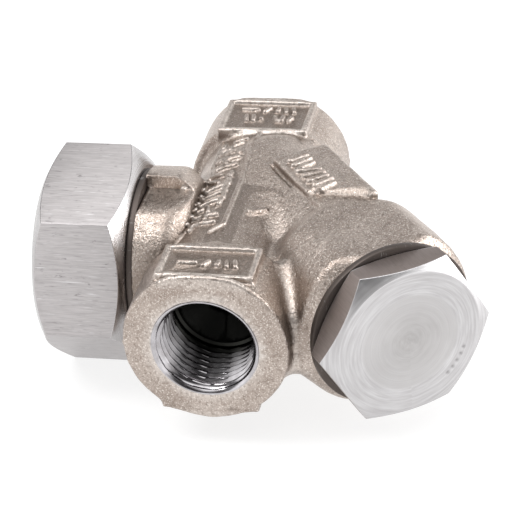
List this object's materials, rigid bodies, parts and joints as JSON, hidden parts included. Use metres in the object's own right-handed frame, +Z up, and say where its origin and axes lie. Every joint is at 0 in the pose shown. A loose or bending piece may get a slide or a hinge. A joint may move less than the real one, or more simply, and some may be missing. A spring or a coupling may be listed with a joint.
{
  "type": "steam trap",
  "caption": "Screwed thermostatic steam trap in cast stainless steel, with a Y strainer branch under a small hexagon cap and a bimetal valve element under a large hexagon cap.",
  "frame": {"origin": "bottom centre of the whole part's box, under the crossing of the bores; the axes of all three bores lie in one horizontal plane", "axes": "+X along the flow towards the outlet face, +Y towards the strainer branch and away from the trap cap, +Z up, square to the plane of the three bore axes"},
  "size_m": [0.083, 0.0924, 0.0459],
  "materials": {
    "cast_stainless": "as-cast, sandy grain, pickled",
    "bright_bar": "drawn hexagon bar, lightly scratched, with turned ends",
    "dark_bar": "drawn hexagon bar, darker flats and a bright turned face",
    "joint_ring": "dull metal joint ring",
    "hardened_steel": "ground",
    "bimetal": "rolled strip, slightly yellow",
    "screen_steel": "perforated sheet"
  },
  "bodies": {
    "casting": {"body": "cast_stainless", "valve_seat": "hardened_steel", "seat_gasket": "joint_ring"},
    "trap_joint_ring": {"trap_cap_gasket": "joint_ring"},
    "trap_cap": {"trap_cap": "bright_bar"},
    "screen_group": {"strainer_cap_gasket": "joint_ring", "strainer_screen": "screen_steel", "screen_inlet_ring": "screen_steel", "screen_cap_ring": "screen_steel"},
    "strainer_cap": {"strainer_cap": "dark_bar"},
    "valve": {"valve_stem": "hardened_steel", "top_washer": "hardened_steel", "adjusting_nut": "hardened_steel", "lock_nut": "hardened_steel"},
    "bimetal_pair_1": {"bimetal_plate_01": "bimetal", "bimetal_plate_02": "bimetal"},
    "bimetal_pair_2": {"bimetal_plate_03": "bimetal", "bimetal_plate_04": "bimetal"},
    "bimetal_pair_3": {"bimetal_plate_05": "bimetal", "bimetal_plate_06": "bimetal"},
    "bimetal_pair_4": {"bimetal_plate_07": "bimetal", "bimetal_plate_08": "bimetal"},
    "bimetal_pair_5": {"bimetal_plate_09": "bimetal", "bimetal_plate_10": "bimetal"}
  },
  "joints": [
    {"name": "trap_cap_lift", "type": "slide", "parent": "casting", "child": "trap_joint_ring", "axis": [0, -1, 0], "range_m": [0, 0.006]},
    {"name": "trap_cap_turn", "type": "hinge", "parent": "trap_joint_ring", "child": "trap_cap", "pos_m": [0.00394, -0.00723, 0.02294], "axis": [0, -1, 0], "range_deg": [0, 1441]},
    {"name": "strainer_cap_lift", "type": "slide", "parent": "casting", "child": "screen_group", "axis": [0.8192, 0.5736, 0], "range_m": [0, 0.009]},
    {"name": "strainer_cap_turn", "type": "hinge", "parent": "screen_group", "child": "strainer_cap", "pos_m": [-0.02386, -0.00723, 0.02294], "axis": [0.8192, 0.5736, 0], "range_deg": [0, 2161]},
    {"name": "valve_lift", "type": "slide", "parent": "casting", "child": "valve", "axis": [0, -1, 0], "range_m": [0, 0.001], "stiffness_N_per_m": 500},
    {"name": "bimetal_pair_1_lift", "type": "slide", "parent": "casting", "child": "bimetal_pair_1", "axis": [0, -1, 0], "range_m": [0, 0.00012]},
    {"name": "bimetal_pair_2_lift", "type": "slide", "parent": "casting", "child": "bimetal_pair_2", "axis": [0, -1, 0], "range_m": [0, 0.00032]},
    {"name": "bimetal_pair_3_lift", "type": "slide", "parent": "casting", "child": "bimetal_pair_3", "axis": [0, -1, 0], "range_m": [0, 0.00052]},
    {"name": "bimetal_pair_4_lift", "type": "slide", "parent": "casting", "child": "bimetal_pair_4", "axis": [0, -1, 0], "range_m": [0, 0.00072]},
    {"name": "bimetal_pair_5_lift", "type": "slide", "parent": "casting", "child": "bimetal_pair_5", "axis": [0, -1, 0], "range_m": [0, 0.00092]}
  ],
  "couplings": [
    {"joint": "trap_cap_turn", "follows": "trap_cap_lift", "rad_per_m": 4188.8},
    {"joint": "strainer_cap_turn", "follows": "strainer_cap_lift", "rad_per_m": 4188.8},
    {"joint": "bimetal_pair_1_lift", "follows": "valve_lift", "ratio": 0.1},
    {"joint": "bimetal_pair_2_lift", "follows": "valve_lift", "ratio": 0.3},
    {"joint": "bimetal_pair_3_lift", "follows": "valve_lift", "ratio": 0.5},
    {"joint": "bimetal_pair_4_lift", "follows": "valve_lift", "ratio": 0.7},
    {"joint": "bimetal_pair_5_lift", "follows": "valve_lift", "ratio": 0.9}
  ]
}
